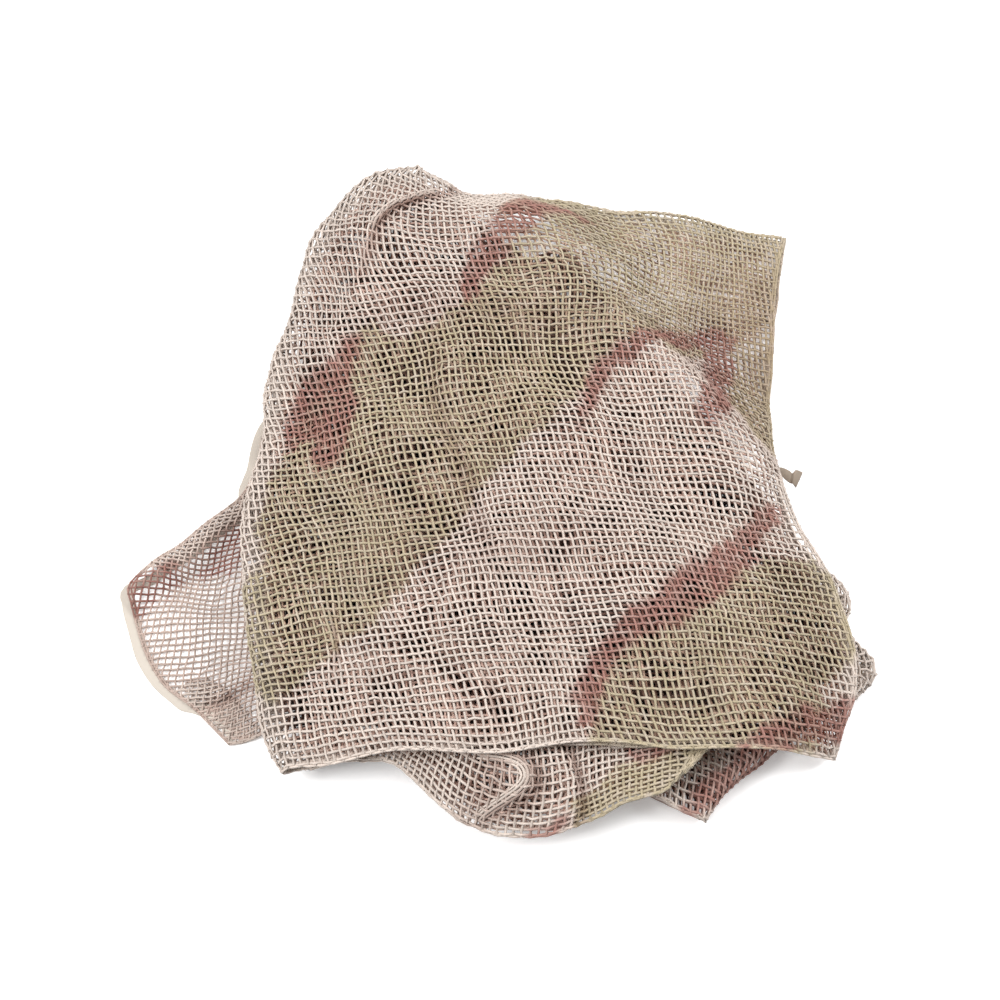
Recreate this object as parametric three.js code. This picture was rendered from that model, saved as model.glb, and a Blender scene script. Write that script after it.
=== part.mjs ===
// A scrim scarf of open net, loosely folded and lying on a flat surface.
// The cloth is doubled along its length, then laid back and forth in five panels,
// so ten layers of net rest on each other in the middle of the heap.
// Millimetres, Z up. The origin is on the surface, under the middle of the heap.
// X runs to the right and Y away from the near edges of the panels.
import * as THREE from "three";

// Driving sizes
const NET_THICKNESS = 1.5; // the net, at its crossings of two yarns
const LAYER_RISE = 6; // from the middle of one layer to the middle of the next
const DRAPE_MARGIN = 8; // a layer keeps its height this far past the rim of one that it covers
const PUFF = 0.2; // the share by which layers stand further apart in the middle of the heap
const PUFF_REACH = 120; // from the rim of a layer to where it is puffed up
const FOLD_BULGE = 0.9; // how round the folds are: 1 is a half circle
const TAPE_WIDTH = 9; // the binding tape on the end of the scarf
const TAPE_THICKNESS = 1.4; // the tape, doubled over
const SEWN_GAP = 0.5; // between the net and what is sewn to it
const TAIL_THICKNESS = 1; // the loose tail of tape
const HEAP_CENTRE = { x: -9.7, y: 21.6 }; // the middle of the heap in the tables below
const COLOURS = { net: 0xb5a68f, tape: 0xe2d8c8, tail: 0xb3a699 };

// How finely the surfaces are divided
const STEPS = { row: 17, fold: 4, edge: 4, outline: 12 };

// Lines in plan from the near edge of the cloth to its far edge, where the panels meet or end.
// Columns: x and y of each point.
const LINES = {
  rightEnd: {
    x: [241, 253, 256, 243, 218, 208, 217, 232],
    y: [-196, -148, -115, -71, -24, 44, 150, 230],
  },
  leftFold: {
    x: [-149, -162, -178, -184, -177, -165, -148, -130, -104, -66],
    y: [-203, -170, -84, -15, 48, 139, 209, 243, 274, 287],
  },
  rightTuck: {
    x: [139, 166, 172, 154, 118, 70, 26, 4],
    y: [-204, -163, -105, -38, 40, 108, 160, 203],
  },
  leftTuck: {
    x: [-95, -112, -115, -102, -84, -62],
    y: [-165, -90, -10, 60, 130, 198],
  },
  rightFold: {
    x: [148, 164, 198, 246, 268, 256, 248, 252, 236, 202, 146, 98, 48],
    y: [-233, -215, -184, -150, -130, -112, -94, -78, -58, -10, 75, 143, 212],
  },
  upperEnd: {
    x: [-199, -226, -247, -265, -279, -279, -244, -200, -180, -132, -108],
    y: [-181, -156, -136, -110, -78, -61, -28, 12, 66, 140, 202],
  },
  lowerEnd: {
    x: [-146, -158, -164, -164, -154, -134, -116, -108],
    y: [-160, -100, -40, 0, 62, 118, 160, 202],
  },
};

// The layers from the top of the heap to the surface: upper and lower ply of each panel in turn.
// from and to are the lines that a layer runs between.
// near and far are how far its two edges bow, along Y, from straight: values at even steps on the way.
// reach is the distance past its rim in which the layers above it come down again.
const LAYERS = [
  {
    ply: "a",
    from: "rightEnd",
    to: "leftFold",
    reach: 60,
    near: [0, 2, 4, 6, 2, 0],
    far: [0, 2, 3, 3, -1, -10, -16, -17, 0],
  },
  {
    ply: "b",
    from: "rightEnd",
    to: "leftFold",
    reach: 60,
    near: [0, 6, 9, 10, 8, 0],
    far: [0, 2, 3, 3, -1, -10, -16, -17, 0],
  },
  {
    ply: "b",
    from: "leftFold",
    to: "rightTuck",
    reach: 90,
    near: [0, 5, 2, -28, -48, -47, -36, -24, 0],
    far: [0, -4, 0],
  },
  {
    ply: "a",
    from: "leftFold",
    to: "rightTuck",
    reach: 90,
    near: [0, 7, 7, -17, -37, -38, -27, -15, 0],
    far: [0, -4, 0],
  },
  { ply: "a", from: "rightTuck", to: "leftTuck", reach: 100, near: [0, -28, -54, -42, 0], far: [0, -4, 0] },
  { ply: "b", from: "rightTuck", to: "leftTuck", reach: 100, near: [0, -24, -48, -36, 0], far: [0, -4, 0] },
  { ply: "b", from: "leftTuck", to: "rightFold", reach: 76, near: [0, 8, 12, 8, 0], far: [0, -4, 0] },
  { ply: "a", from: "leftTuck", to: "rightFold", reach: 76, near: [0, 6, 10, 6, 0], far: [0, -4, 0] },
  { ply: "a", from: "rightFold", to: "upperEnd", reach: 76, near: [0, 16, 28, 32, 22, 0], far: [0, -3, 0] },
  { ply: "b", from: "rightFold", to: "lowerEnd", reach: 76, near: [0, 18, 30, 32, 22, 0], far: [0, -3, 0] },
];

// Columns of the sheet across each panel
const PANEL_STEPS = [18, 10, 6, 8, 12];

// Where the net stands clear of what lies under it, or sags beyond it.
// Columns: the lowest layer that is lifted, counted from the top; middle and reach in plan; lift.
const SWELLS = [
  { layer: 1, x: -30, y: 60, reach: 70, lift: 4 },
  { layer: 1, x: 130, y: 60, reach: 60, lift: 5 },
  { layer: 1, x: 160, y: -110, reach: 80, lift: 4 },
  { layer: 1, x: -100, y: -120, reach: 70, lift: 4 },
  { layer: 3, x: -85, y: 250, reach: 80, lift: 6 },
  { layer: 1, x: 254, y: -208, reach: 75, lift: -12 },
  { layer: 1, x: 118, y: 172, reach: 45, lift: -5 },
  { layer: 3, x: 20, y: -225, reach: 60, lift: 6 },
  { layer: 8, x: -272, y: -58, reach: 60, lift: 4 },
  { layer: 8, x: -225, y: -22, reach: 60, lift: 4 },
];

// The binding tape runs outside the end of the net, except where the upper ply is turned over it.
// Columns: first and last row of the net, from its near corner, at which the tape is sunk and hidden.
const TAPE_UNDER = { sunkFrom: 5, hiddenFrom: 6, hiddenTo: 9, sunkTo: 10 };

// The loose tail of tape: sections outwards from one row of the hem at the right end.
// Columns: distance out and to the far side, half width, lift of the far and the near corner.
const TAIL_ROW = 9;
const TAIL = [
  { out: 0.6, aside: 2, half: 2.2, far: 0, near: -0.6 },
  { out: 5, aside: -1, half: 4.2, far: -0.4, near: -2 },
  { out: 9.5, aside: -3.5, half: 5.2, far: -0.8, near: -3.6 },
  { out: 13, aside: -5, half: 5, far: 0.6, near: -3.4 },
  { out: 16.5, aside: -6, half: 6.4, far: -3.6, near: -6 },
  { out: 21, aside: -6.5, half: 7.4, far: -6.5, near: -7.5 },
];

// Curves from the tables
function lineFromTable({ x, y }) {
  return new THREE.SplineCurve(x.map((value, i) => new THREE.Vector2(value, y[i])));
}

const lines = Object.fromEntries(
  Object.entries(LINES).map(([name, table]) => [name, lineFromTable(table)]),
);

function bowFromTable(values) {
  const curve = new THREE.SplineCurve(values.map((value, i) => new THREE.Vector2(i, value)));
  return (along) => curve.getPoint(along).y;
}

const layers = LAYERS.map((row) => ({
  ply: row.ply,
  reach: row.reach,
  from: lines[row.from],
  to: lines[row.to],
  near: bowFromTable(row.near),
  far: bowFromTable(row.far),
}));

// Where a point of a layer lies in plan: along from one line to the other, across from near to far
function planPoint(layer, along, across) {
  const point = layer.from.getPointAt(across).lerp(layer.to.getPointAt(across), along);
  point.y += layer.near(along) * (1 - across) + layer.far(along) * across;
  return point;
}

// The rim of a layer in plan, as a closed ring of points: near edge, one line, far edge, other line
function rimOf(layer) {
  const steps = Array.from({ length: STEPS.outline }, (_, i) => i / STEPS.outline);
  return [
    ...steps.map((step) => planPoint(layer, step, 0)),
    ...steps.map((step) => planPoint(layer, 1, step)),
    ...steps.map((step) => planPoint(layer, 1 - step, 1)),
    ...steps.map((step) => planPoint(layer, 0, 1 - step)),
  ];
}

layers.forEach((layer) => {
  layer.rim = rimOf(layer);
});

// How far a point lies outside a rim: less than 0 inside it
function distanceOutside(rim, point) {
  let inside = false;
  let nearest = Infinity;
  rim.forEach((start, i) => {
    const end = rim[(i + 1) % rim.length];
    if (start.y > point.y !== end.y > point.y) {
      const crossing = start.x + ((point.y - start.y) * (end.x - start.x)) / (end.y - start.y);
      if (point.x < crossing) inside = !inside;
    }
    const side = end.clone().sub(start);
    const foot = THREE.MathUtils.clamp(point.clone().sub(start).dot(side) / side.lengthSq(), 0, 1);
    nearest = Math.min(nearest, start.clone().addScaledVector(side, foot).distanceTo(point));
  });
  return inside ? -nearest : nearest;
}

// About 1 where a layer lies under the point, falling to 0 beyond its rim
function coverOf(layer, point) {
  const past = distanceOutside(layer.rim, point);
  const drape = 1 - THREE.MathUtils.smootherstep(past - DRAPE_MARGIN, 0, layer.reach);
  return drape + PUFF * THREE.MathUtils.smootherstep(-past, 0, PUFF_REACH);
}

// A point on the middle of a layer: it rests on all the layers that lie below it
function layerPoint(index, along, across) {
  const plan = planPoint(layers[index], along, across);
  let height = NET_THICKNESS / 2;
  for (let below = index + 1; below < layers.length; below++) {
    height += LAYER_RISE * coverOf(layers[below], plan);
  }
  for (const { layer, x, y, reach, lift } of SWELLS) {
    const distance = Math.hypot(plan.x - x, plan.y - y);
    if (index <= layer) height += lift * (1 - THREE.MathUtils.smootherstep(distance, 0, reach));
  }
  return new THREE.Vector3(plan.x, plan.y, height);
}

function layerIndex(panel, ply) {
  return layers[2 * panel].ply === ply ? 2 * panel : 2 * panel + 1;
}

// A point of the half turn between two panels, on one ply
function foldPoint(panel, turn, ply, across) {
  const layer = layers[layerIndex(panel, ply)];
  const upper = layerPoint(layerIndex(panel, ply), 1, across);
  const lower = layerPoint(layerIndex(panel + 1, ply), 0, across);
  const fold = layer.to.getTangentAt(across);
  const outward = new THREE.Vector3(fold.y, -fold.x, 0);
  if (layer.to.getPointAt(across).x < layer.from.getPointAt(across).x) outward.negate();
  const radius = (upper.z - lower.z) / 2;
  const point = upper.clone().add(lower).multiplyScalar(0.5);
  point.addScaledVector(outward, FOLD_BULGE * radius * Math.sin(turn));
  point.z += radius * Math.cos(turn);
  return point;
}

// The columns of the sheet from the right end to the left end: steps over each panel and each fold
function sheetColumns() {
  const columns = [];
  PANEL_STEPS.forEach((steps, panel) => {
    for (let i = 0; i <= steps; i++) {
      columns.push((ply, across) => layerPoint(layerIndex(panel, ply), i / steps, across));
    }
    if (panel === PANEL_STEPS.length - 1) return;
    for (let i = 1; i < STEPS.fold; i++) {
      columns.push((ply, across) => foldPoint(panel, (Math.PI * i) / STEPS.fold, ply, across));
    }
  });
  return columns;
}

// One column of the doubled cloth: up ply a, round the lengthwise fold at the far edge, down ply b
function columnPoints(place) {
  const upper = [];
  const lower = [];
  for (let i = 0; i <= STEPS.row; i++) {
    upper.push(place("a", i / STEPS.row));
    lower.unshift(place("b", i / STEPS.row));
  }
  const top = upper[STEPS.row];
  const bottom = lower[0];
  const middle = top.clone().add(bottom).multiplyScalar(0.5);
  const half = top.clone().sub(middle);
  const outward = top.clone().sub(upper[STEPS.row - 1]).setZ(0).normalize();
  const round = [];
  for (let i = 1; i < STEPS.edge; i++) {
    const turn = (Math.PI * i) / STEPS.edge;
    round.push(
      middle
        .clone()
        .addScaledVector(half, Math.cos(turn))
        .addScaledVector(outward, FOLD_BULGE * half.length() * Math.sin(turn)),
    );
  }
  return [...upper, ...round, ...lower];
}

// The direction of a column of points at one of its rows
function rowTangent(column, row) {
  const nearer = column[Math.max(row - 1, 0)];
  const further = column[Math.min(row + 1, column.length - 1)];
  return further.clone().sub(nearer);
}

// The normal of a grid of points at one of them
function gridNormal(grid, column, row) {
  const before = grid[Math.max(column - 1, 0)][row];
  const after = grid[Math.min(column + 1, grid.length - 1)][row];
  const along = after.clone().sub(before);
  return rowTangent(grid[column], row).cross(along).normalize();
}

// A closed solid of even thickness about a grid of points
function solidFromGrid(grid, thickness) {
  const columns = grid.length;
  const rows = grid[0].length;
  const positions = [];
  for (const side of [0.5, -0.5]) {
    for (let c = 0; c < columns; c++) {
      for (let r = 0; r < rows; r++) {
        const offset = gridNormal(grid, c, r).multiplyScalar(side * thickness);
        positions.push(...grid[c][r].clone().add(offset).toArray());
      }
    }
  }
  const above = (c, r) => c * rows + r;
  const under = (c, r) => columns * rows + c * rows + r;
  const triangles = [];
  const quad = (a, b, c, d) => triangles.push(a, b, c, a, c, d);
  for (let c = 0; c < columns - 1; c++) {
    for (let r = 0; r < rows - 1; r++) {
      quad(above(c, r), above(c, r + 1), above(c + 1, r + 1), above(c + 1, r));
      quad(under(c, r), under(c + 1, r), under(c + 1, r + 1), under(c, r + 1));
    }
    quad(above(c, 0), above(c + 1, 0), under(c + 1, 0), under(c, 0));
    quad(above(c + 1, rows - 1), above(c, rows - 1), under(c, rows - 1), under(c + 1, rows - 1));
  }
  for (let r = 0; r < rows - 1; r++) {
    quad(above(0, r + 1), above(0, r), under(0, r), under(0, r + 1));
    quad(above(columns - 1, r), above(columns - 1, r + 1), under(columns - 1, r + 1), under(columns - 1, r));
  }
  const geometry = new THREE.BufferGeometry();
  geometry.setAttribute("position", new THREE.Float32BufferAttribute(positions, 3));
  geometry.setIndex(triangles);
  geometry.computeVertexNormals();
  return geometry;
}

// The binding tape: a strip beside or under the last column of the net, row by row
function tapeGrid(net) {
  const last = net.length - 1;
  const under = (NET_THICKNESS + TAPE_THICKNESS) / 2 + 2 * SEWN_GAP;
  const strip = [[], []];
  net[last].forEach((corner, row) => {
    const normal = gridNormal(net, last, row);
    const outward = corner.clone().sub(net[last - 1][row]).normalize();
    const square = normal.clone().cross(rowTangent(net[last], row)).normalize();
    const gap = SEWN_GAP / outward.dot(square);
    const sunk = row >= TAPE_UNDER.sunkFrom && row <= TAPE_UNDER.sunkTo;
    const hidden = row >= TAPE_UNDER.hiddenFrom && row <= TAPE_UNDER.hiddenTo;
    const start = corner.clone().addScaledVector(normal, sunk ? -under : 0);
    const inset = hidden ? -TAPE_WIDTH - gap : gap;
    [inset, inset + TAPE_WIDTH].forEach((distance, side) => {
      const point = start.clone().addScaledVector(outward, distance);
      point.z = Math.max(point.z, TAPE_THICKNESS / 2);
      strip[side].push(point);
    });
  });
  return strip;
}

// The loose tail: a short strip with a crease, from its table
function tailGrid(net) {
  const root = net[0][TAIL_ROW];
  return TAIL.map(({ out, aside, half, far, near }) => [
    root.clone().add(new THREE.Vector3(out, aside - half, near)),
    root.clone().add(new THREE.Vector3(out, aside + half, far)),
  ]);
}

function piece(name, geometry, colour) {
  const material = new THREE.MeshStandardMaterial({ color: colour, roughness: 0.95, metalness: 0 });
  const mesh = new THREE.Mesh(geometry, material);
  mesh.name = name;
  return mesh;
}

const netGrid = sheetColumns().map(columnPoints);
const scarf = new THREE.Group();
scarf.name = "scrim_scarf";
scarf.add(piece("net", solidFromGrid(netGrid, NET_THICKNESS), COLOURS.net));
scarf.add(piece("end_binding", solidFromGrid(tapeGrid(netGrid), TAPE_THICKNESS), COLOURS.tape));
scarf.add(piece("tape_tail", solidFromGrid(tailGrid(netGrid), TAIL_THICKNESS), COLOURS.tail));
scarf.position.set(-HEAP_CENTRE.x, -HEAP_CENTRE.y, 0);

export default scarf;
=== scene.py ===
# %% [markdown]
# # A scrim scarf, loosely folded
# A scrim scarf is a wide cotton net with square meshes, printed in earth colours.
# This one is doubled along its length, laid back and forth in five panels, and left as a soft heap.
# Every yarn of the net is made here as a thin tube, because the gaps between the yarns are what
# the eye sees first: they are white over the floor and dark where ten layers lie on each other.

# %% Start from the solids
from math import cos, pi, radians, sin

import bpy
import numpy as np
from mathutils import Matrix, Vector


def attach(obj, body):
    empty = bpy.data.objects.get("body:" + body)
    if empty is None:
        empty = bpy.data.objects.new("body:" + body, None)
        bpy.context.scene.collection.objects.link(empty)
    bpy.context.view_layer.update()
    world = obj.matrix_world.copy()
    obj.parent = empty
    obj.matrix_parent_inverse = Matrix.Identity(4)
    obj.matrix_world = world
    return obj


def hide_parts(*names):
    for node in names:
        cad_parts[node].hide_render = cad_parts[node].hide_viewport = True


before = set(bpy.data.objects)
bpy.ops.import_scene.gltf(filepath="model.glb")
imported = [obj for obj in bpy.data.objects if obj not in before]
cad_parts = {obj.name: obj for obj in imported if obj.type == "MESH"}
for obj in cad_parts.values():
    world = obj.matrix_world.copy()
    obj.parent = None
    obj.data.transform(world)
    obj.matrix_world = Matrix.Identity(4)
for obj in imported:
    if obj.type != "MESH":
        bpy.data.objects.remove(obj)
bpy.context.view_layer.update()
bpy.ops.object.select_all(action="DESELECT")
MM = 0.001

# %% [markdown]
# ## The lines of the folds
# Seen from above, the heap is a few lines from the near edge of the cloth to its far edge: the right
# end, the folds on the left and right, and the left end. They could be drawn as curve objects, but
# the net needs to ask for a point at any share of a line, so they stay tables with a spline function.
# All lengths are millimetres, with the middle of the heap at HEAP_CENTRE.

# %% Tables of the heap
HEAP_CENTRE = np.array([-9.7, 21.6])
LINES = {
    "right_end": {
        "x": [241, 253, 256, 243, 218, 208, 217, 232],
        "y": [-196, -148, -115, -71, -24, 44, 150, 230],
    },
    "left_fold": {
        "x": [-149, -162, -178, -184, -177, -165, -148, -130, -104, -66],
        "y": [-203, -170, -84, -15, 48, 139, 209, 243, 274, 287],
    },
    "right_tuck": {
        "x": [139, 166, 172, 154, 118, 70, 26, 4],
        "y": [-188, -160, -105, -38, 40, 108, 160, 203],
    },
    "left_tuck": {
        "x": [-95, -112, -115, -102, -84, -62],
        "y": [-165, -90, -10, 60, 130, 198],
    },
    "right_fold": {
        "x": [140, 157, 194, 246, 268, 256, 248, 252, 236, 202, 146, 98, 48],
        "y": [-235, -215, -184, -150, -130, -112, -94, -78, -58, -10, 75, 143, 212],
    },
    "upper_end": {
        "x": [-199, -226, -247, -265, -279, -279, -244, -200, -180, -132, -108],
        "y": [-181, -156, -136, -110, -78, -61, -28, 12, 66, 140, 202],
    },
    "lower_end": {
        "x": [-146, -158, -164, -164, -154, -134, -116, -108],
        "y": [-160, -100, -40, 0, 62, 118, 160, 202],
    },
}
# The layers from the top of the heap to the floor. near and far are how the two edges bow along Y.
# reach is how far past a layer's rim the layers above it take to come down.
LAYERS = [
    {"ply": "a", "from": "right_end", "to": "left_fold", "reach": 60,
     "near": [0, 2, 4, 6, 2, 0], "far": [0, 2, 3, 3, -1, -10, -16, -17, 0]},
    {"ply": "b", "from": "right_end", "to": "left_fold", "reach": 60,
     "near": [0, 6, 9, 10, 8, 0], "far": [0, 2, 3, 3, -1, -10, -16, -17, 0]},
    {"ply": "b", "from": "left_fold", "to": "right_tuck", "reach": 90,
     "near": [0, 2, 3, 2, -2, -17, -34, -47, -56, -58, -57, -53, -48, -43, -39, -33, 0], "far": [0, -4, 0]},
    {"ply": "a", "from": "left_fold", "to": "right_tuck", "reach": 90,
     "near": [0, 3, 5, 5, 3, -9, -23, -36, -45, -48, -48, -44, -39, -34, -30, -26, 0], "far": [0, -4, 0]},
    {"ply": "a", "from": "right_tuck", "to": "left_tuck", "reach": 100,
     "near": [0, -40, -62, -46, 0], "far": [0, -4, 0]},
    {"ply": "b", "from": "right_tuck", "to": "left_tuck", "reach": 100,
     "near": [0, -36, -56, -40, 0], "far": [0, -4, 0]},
    {"ply": "b", "from": "left_tuck", "to": "right_fold", "reach": 76,
     "near": [0, 8, 12, 8, 0], "far": [0, -4, 0]},
    {"ply": "a", "from": "left_tuck", "to": "right_fold", "reach": 76,
     "near": [0, 6, 10, 6, 0], "far": [0, -4, 0]},
    {"ply": "a", "from": "right_fold", "to": "upper_end", "reach": 76,
     "near": [0, 16, 28, 32, 22, 0], "far": [0, -3, 0]},
    {"ply": "b", "from": "right_fold", "to": "lower_end", "reach": 76,
     "near": [0, 18, 30, 32, 22, 0], "far": [0, -3, 0]},
]
PANELS = len(LAYERS) // 2
print("layers:", len(LAYERS), "panels:", PANELS)

# %% [markdown]
# ## From lines to layers
# A spline runs smoothly through the points of a line, and shares of its length give even points on it.
# A layer spans two lines like a ruled surface, with its near and far edges bowed. Its rim is kept,
# because the layers above rest on it as far as that rim.

# %% Layers seen from above
ARC_STEPS = 200
RIM_STEPS = 12  # on each of the four sides


def spline(values, t):
    """A smooth curve through evenly spaced values, at t from 0 to 1."""
    values = np.asarray(values, float)
    last = len(values) - 1
    place = np.clip(t, 0, 1) * last
    i = np.minimum(place.astype(int), last - 1)
    f = place - i
    before, start, end, after = (values[np.clip(i + k, 0, last)] for k in (-1, 0, 1, 2))
    leave, arrive = (end - before) / 2, (after - start) / 2
    bend = 2 * (start - end) + leave + arrive
    return bend * f**3 + (3 * (end - start) - 2 * leave - arrive) * f**2 + leave * f + start


def on_line(name, across):
    """Points of a line at even shares of its length, from its near end at 0 to its far end at 1."""
    x, y = LINES[name]["x"], LINES[name]["y"]
    steps = np.linspace(0, 1, ARC_STEPS + 1)
    run = np.hypot(np.diff(spline(x, steps)), np.diff(spline(y, steps))).cumsum()
    run = np.append(0, run)
    at = np.interp(across * run[-1], run, steps)
    return np.stack([spline(x, at), spline(y, at)], axis=-1)


def plan(layer, along, across):
    """Where a point of a layer lies, seen from above."""
    start, end = on_line(layer["from"], across), on_line(layer["to"], across)
    places = start + (end - start) * along[..., None]
    places[..., 1] += spline(layer["near"], along) * (1 - across) + spline(layer["far"], along) * across
    return places


def rim_of(layer):
    """The outline of a layer, seen from above."""
    steps = np.arange(RIM_STEPS) / RIM_STEPS
    low, high = np.zeros(RIM_STEPS), np.ones(RIM_STEPS)
    along = np.concatenate([steps, high, 1 - steps, low])
    across = np.concatenate([low, steps, high, 1 - steps])
    return plan(layer, along, across)


for layer in LAYERS:
    layer["rim"] = rim_of(layer)
print("points on each rim:", len(LAYERS[0]["rim"]))

# %% [markdown]
# ## How high each layer lies
# A layer rests on all the layers under it. Each of them lifts it by one step where it lies below,
# and lets it down again, softly, past its rim. On top of that come the swells, where the net stands
# clear, and small uneven ripples, which the two plies of a panel share. A cloth simulation of ten
# loose layers would take minutes and slide out of place, so the drape is worked out directly.

# %% Heights, swells and ripples
NET_THICKNESS = 1.5
LAYER_RISE = 6  # from the middle of one layer to the middle of the next
DRAPE_MARGIN = 8  # a layer keeps its height this far past the rim of one that it covers
PUFF = 0.2  # the share by which layers stand further apart in the middle of the heap
PUFF_REACH = 120  # from the rim of a layer to where it is puffed up
WAVE_SIZES = (0.7, 1.4)  # the waves of a ripple are so much shorter or longer than its length
RIPPLES = [
    {"length": 95, "height": 1.6, "drift": 2.2},
    {"length": 38, "height": 0.7, "drift": 0.5},
]
# layer is the lowest one that is lifted, counted from the top
SWELLS = [
    {"layer": 1, "x": -30, "y": 60, "reach": 70, "lift": 4},
    {"layer": 1, "x": 130, "y": 60, "reach": 60, "lift": 5},
    {"layer": 1, "x": 160, "y": -110, "reach": 80, "lift": 4},
    {"layer": 1, "x": -100, "y": -120, "reach": 70, "lift": 4},
    {"layer": 3, "x": -85, "y": 250, "reach": 80, "lift": 6},
    {"layer": 1, "x": 254, "y": -208, "reach": 75, "lift": -12},
    {"layer": 1, "x": 118, "y": 172, "reach": 45, "lift": -5},
    {"layer": 3, "x": 20, "y": -225, "reach": 60, "lift": 6},
    {"layer": 8, "x": -272, "y": -58, "reach": 60, "lift": 4},
    {"layer": 8, "x": -225, "y": -22, "reach": 60, "lift": 4},
]


def ease(x):
    """0 to 1, level at both ends."""
    x = np.clip(x, 0, 1)
    return x**3 * (x * (6 * x - 15) + 10)


def outside(rim, places):
    """How far each place lies outside a rim: less than 0 inside it."""
    flat = places.reshape(-1, 1, 2)
    end = np.roll(rim, -1, axis=0)
    side = end - rim
    foot = np.clip(((flat - rim) * side).sum(-1) / (side**2).sum(-1), 0, 1)
    gap = np.linalg.norm(flat - rim - side * foot[..., None], axis=-1).min(1)
    x, y = flat[..., 0], flat[..., 1]
    spans = (rim[:, 1] > y) != (end[:, 1] > y)
    slope = np.divide(side[:, 0], side[:, 1], out=np.zeros(len(rim)), where=side[:, 1] != 0)
    inside = (spans & (x < rim[:, 0] + (y - rim[:, 1]) * slope)).sum(1) % 2 == 1
    return np.where(inside, -gap, gap).reshape(places.shape[:-1])


def within(places, row):
    """1 at the middle of a row, and 0 from its reach on."""
    return 1 - ease(np.hypot(places[..., 0] - row["x"], places[..., 1] - row["y"]) / row["reach"])


def cover(layer, places):
    """How many steps a layer lifts those above it: none well past its rim, a little over 1 in its middle."""
    past = outside(layer["rim"], places)
    return 1 - ease((past - DRAPE_MARGIN) / layer["reach"]) + PUFF * ease(-past / PUFF_REACH)


def ripple(places, seed, length, waves=5):
    """A smooth uneven field, about -1 to 1, with waves of about that length."""
    rng = np.random.default_rng(seed)
    total = np.zeros(places.shape[:-1])
    least, most = ([0, size, 0] for size in WAVE_SIZES)
    most[0] = most[2] = 2 * pi
    for turn, size, phase in rng.uniform(least, most, (waves, 3)):
        step = places @ np.array([cos(turn), sin(turn)])
        total += np.sin(step * 2 * pi / (length * size) + phase)
    return total / waves**0.5


print("swells:", len(SWELLS), "ripples:", len(RIPPLES))

# %% [markdown]
# ## Lips and creases
# The main creases are charted, each as a line in plan with its own lift and widths. Near its line
# a crease raises the net, or lowers it, and draws it towards its steep side. They could be pulled up by
# hand with soft selection, but a table lets the plies move together and is easy to change.

# %% Creases
# Lips and creases as lines in plan, with the steep side on the left of the way they run. layers are the
# first and the last one that a crease moves. push moves the crest towards the steep side, and shade is
# how much darker the yarn below it is painted.
CREASES = [
    {"name": "lip of the near pleat", "layers": (2, 5), "x": [-16, 1, 12, 15, 11, 2, -8, -17],
     "y": [-198, -202, -208, -215, -221, -227, -233, -240], "lift": 8, "steep": 6, "gentle": 22, "push": 3,
     "shade": 0.4, "roll": {"radius": 4, "yarns": 5, "from": 0, "to": 1}},
    {"name": "hollow beside the near pleat", "layers": (2, 3), "x": [-52, -34, -22, -26, -44],
     "y": [-186, -194, -205, -217, -230], "lift": -2, "steep": 14, "gentle": 16, "push": 0, "shade": 0.2},
    {"name": "second near pleat", "layers": (2, 5), "x": [34, 43, 47, 44], "y": [-180, -204, -225, -258],
     "lift": 6, "steep": 6, "gentle": 14, "push": 3, "shade": 0.35},
    {"name": "lip of the far hump", "layers": (0, 1), "x": [-36, -50, -65, -80, -94, -103, -107, -114],
     "y": [280, 265, 257, 248, 237, 224, 208, 180], "lift": 13, "steep": 6, "gentle": 32, "push": 8,
     "shade": 0.65, "roll": {"radius": 2.4, "yarns": 3, "from": 0.17, "to": 0.8}},
    {"name": "rim of the near pleat", "layers": (3, 4), "x": [130, 80, 20, -40, -90, -125],
     "y": [-215, -231, -239, -235, -218, -205], "lift": -4, "steep": 14, "gentle": 30, "push": 7, "shade": 0},
    {"name": "rolled edge of the left flap", "layers": (8, 8), "x": [-180, -215, -240, -290],
     "y": [4, -21, -44, -80], "lift": 8, "steep": 7, "gentle": 14, "push": 0, "shade": 0.5},
    {"name": "gather on the left flap", "layers": (8, 8), "x": [-168, -202, -226],
     "y": [-126, -142, -152], "lift": 6, "steep": 6, "gentle": 14, "push": 2, "shade": 0.3},
    {"name": "long ridge", "layers": (0, 1), "x": [4, -11, -28, -40, -43], "y": [-61, -15, 41, 81, 114],
     "lift": 5, "steep": 9, "gentle": 22, "push": 3, "shade": 0.15},
    {"name": "ridge above the right flap", "layers": (0, 1), "x": [66, 112, 152, 184, 214],
     "y": [168, 115, 73, 36, 2], "lift": 6, "steep": 12, "gentle": 26, "push": 6, "shade": 0.1},
    {"name": "trough on the far side", "layers": (0, 1), "x": [-110, -46, 15, 84], "y": [106, 123, 115, 110],
     "lift": -4, "steep": 18, "gentle": 18, "push": 0, "shade": 0.1},
    {"name": "left crease", "layers": (0, 0), "x": [-125, -123, -122], "y": [-100, -120, -142],
     "lift": 3, "steep": 4, "gentle": 12, "push": 2.5, "shade": 0.3},
    {"name": "near crease", "layers": (0, 0), "x": [-18, -13, -10], "y": [-146, -164, -182],
     "lift": 3, "steep": 4, "gentle": 14, "push": 2, "shade": 0.25},
    {"name": "trough below the middle", "layers": (0, 1), "x": [-100, -40, 40, 110],
     "y": [-40, -70, -76, -60], "lift": -3, "steep": 22, "gentle": 22, "push": 0, "shade": 0.05},
]
CREASE_STEPS = np.linspace(0, 1, 33)
PULL = 2  # how much farther than its lift a crease draws the cloth along
CREASE_ENDS, CREASE_FADE = (0.06, 0.94), 0.7  # a crease dies away towards its ends
SHADE_PLACE, SHADE_WIDTH = 1.2, 0.9  # the painted dark line beside the crest, in widths of the steep side
SMALL = 1e-9


def unit(vectors):
    """Vectors of the same direction, one long."""
    return vectors / np.maximum(np.linalg.norm(vectors, axis=-1, keepdims=True), SMALL)


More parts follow.
